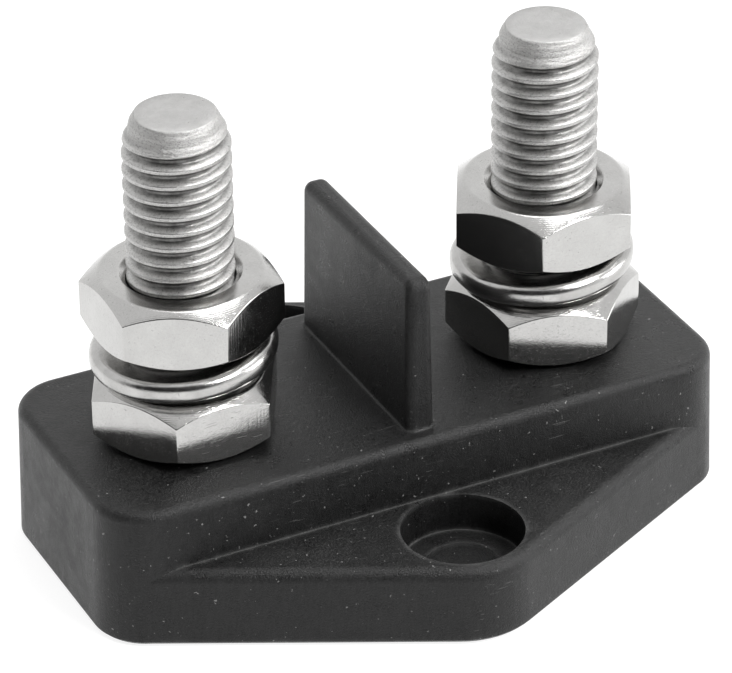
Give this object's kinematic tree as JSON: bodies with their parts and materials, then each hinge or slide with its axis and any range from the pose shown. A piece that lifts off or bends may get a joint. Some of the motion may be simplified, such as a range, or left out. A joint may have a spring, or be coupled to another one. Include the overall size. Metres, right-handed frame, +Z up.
{
  "type": "insulated dual stud terminal block",
  "caption": "Black insulated base with two threaded steel terminal posts, hex nuts and split washers, a divider fin between them and a counterbored mounting ear on each long side.",
  "frame": {"origin": "centre of the base's underside", "axes": "+X along the bar from the left post to the right post, +Y to the rear, +Z up along the studs"},
  "size_m": [0.0508, 0.0422, 0.0366],
  "materials": {
    "black_nylon": "fine moulded grain, semi-matte, glass-filled nylon",
    "potting": "smooth cast sealing compound",
    "stud_steel": "rolled stainless thread, satin",
    "nut_steel": "bright stainless with turned faces",
    "washer_steel": "tumbled bright stainless"
  },
  "bodies": {
    "root": {"base_moulding": "black_nylon", "left_stud": "stud_steel", "left_pocket_plug": "potting", "left_lower_nut": "nut_steel", "right_stud": "stud_steel", "right_pocket_plug": "potting", "right_lower_nut": "nut_steel"},
    "left_washer": {"left_spring_washer": "washer_steel"},
    "left_nut": {"left_upper_nut": "nut_steel"},
    "right_washer": {"right_spring_washer": "washer_steel"},
    "right_nut": {"right_upper_nut": "nut_steel"}
  },
  "joints": [
    {"name": "left_nut_spin", "type": "hinge", "parent": "left_washer", "child": "left_nut", "pos_m": [-0.0148, 0, 0.0214], "axis": [0, 0, 1], "range_deg": [0, 3600]},
    {"name": "left_nut_climb", "type": "slide", "parent": "root", "child": "left_washer", "axis": [0, 0, 1], "range_m": [0, 0.01251]},
    {"name": "right_nut_spin", "type": "hinge", "parent": "right_washer", "child": "right_nut", "pos_m": [0.0148, 0, 0.0214], "axis": [0, 0, 1], "range_deg": [0, 3600]},
    {"name": "right_nut_climb", "type": "slide", "parent": "root", "child": "right_washer", "axis": [0, 0, 1], "range_m": [0, 0.01251]}
  ],
  "couplings": [
    {"joint": "left_nut_climb", "follows": "left_nut_spin", "m_per_rad": 0.00019894},
    {"joint": "right_nut_climb", "follows": "right_nut_spin", "m_per_rad": 0.00019894}
  ]
}
